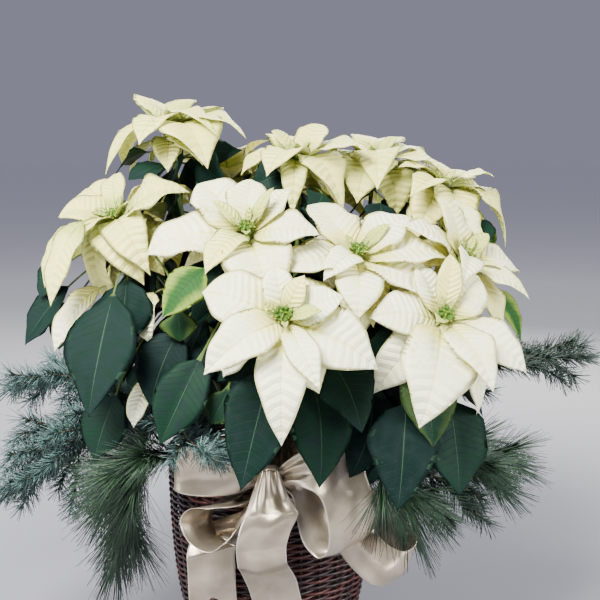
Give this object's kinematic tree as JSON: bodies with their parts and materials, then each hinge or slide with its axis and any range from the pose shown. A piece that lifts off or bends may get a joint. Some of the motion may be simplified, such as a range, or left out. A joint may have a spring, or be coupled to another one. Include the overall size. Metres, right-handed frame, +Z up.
{
  "type": "potted poinsettia",
  "caption": "Poinsettia with cream bracts and dark green leaves in a round wicker basket with a satin bow and evergreen sprays.",
  "frame": {"origin": "middle of the flat underside of the basket", "axes": "+Z up from the underside to the flower heads; -Y towards the front, where the bow is; +X to the right seen from the front"},
  "size_m": [0.8198, 0.6262, 0.7773],
  "materials": {
    "cream_bract": "satin",
    "bead_green": "satin",
    "leaf_green": "satin",
    "wicker_brown": "satin",
    "liner_plastic": "matte",
    "soil_brown": "matte",
    "satin_champagne": "satin",
    "needle_blue_green": "matte",
    "needle_green": "matte"
  },
  "bodies": {
    "root": {"basket_rim": "wicker_brown", "basket_wall": "wicker_brown", "beads_back_left": "bead_green", "beads_back_left_low": "bead_green", "beads_back_low": "bead_green", "beads_back_right": "bead_green", "beads_back_right_low": "bead_green", "beads_back_top": "bead_green", "beads_back_top_left": "bead_green", "beads_centre": "bead_green", "beads_centre_left": "bead_green", "beads_front_low": "bead_green", "beads_front_right": "bead_green", "beads_left": "bead_green", "beads_right": "bead_green", "beads_right_high": "bead_green", "beads_top_left": "bead_green", "beads_top_mid": "bead_green", "beads_top_right": "bead_green", "fir_back_right": "needle_green", "fir_right": "needle_green", "fir_right_low": "needle_green", "head_back_left": "cream_bract", "head_back_left_low": "cream_bract", "head_back_low": "cream_bract", "head_back_right": "cream_bract", "head_back_right_low": "cream_bract", "head_back_top": "cream_bract", "head_back_top_left": "cream_bract", "head_centre": "cream_bract", "head_centre_left": "cream_bract", "head_front_low": "cream_bract", "head_front_right": "cream_bract", "head_left": "cream_bract", "head_right": "cream_bract", "head_right_high": "cream_bract", "head_top_left": "cream_bract", "head_top_mid": "cream_bract", "head_top_right": "cream_bract", "liner_pot": "liner_plastic", "pine_back_left": "needle_green", "pine_front_right": "needle_green", "pine_left_low": "needle_green", "pine_right": "needle_green", "plant_back": "leaf_green", "plant_front": "leaf_green", "plant_left": "leaf_green", "ribbon_knot": "satin_champagne", "ribbon_loop_lower_left": "satin_champagne", "ribbon_loop_middle": "satin_champagne", "ribbon_loop_right": "satin_champagne", "ribbon_loop_upper_left": "satin_champagne", "ribbon_tail_left": "satin_champagne", "ribbon_tail_middle": "satin_champagne", "soil": "soil_brown", "spruce_back_left": "needle_blue_green", "spruce_left_middle": "needle_blue_green", "spruce_left_upper": "needle_blue_green", "spruce_over_loop": "needle_blue_green"}
  },
  "joints": []
}
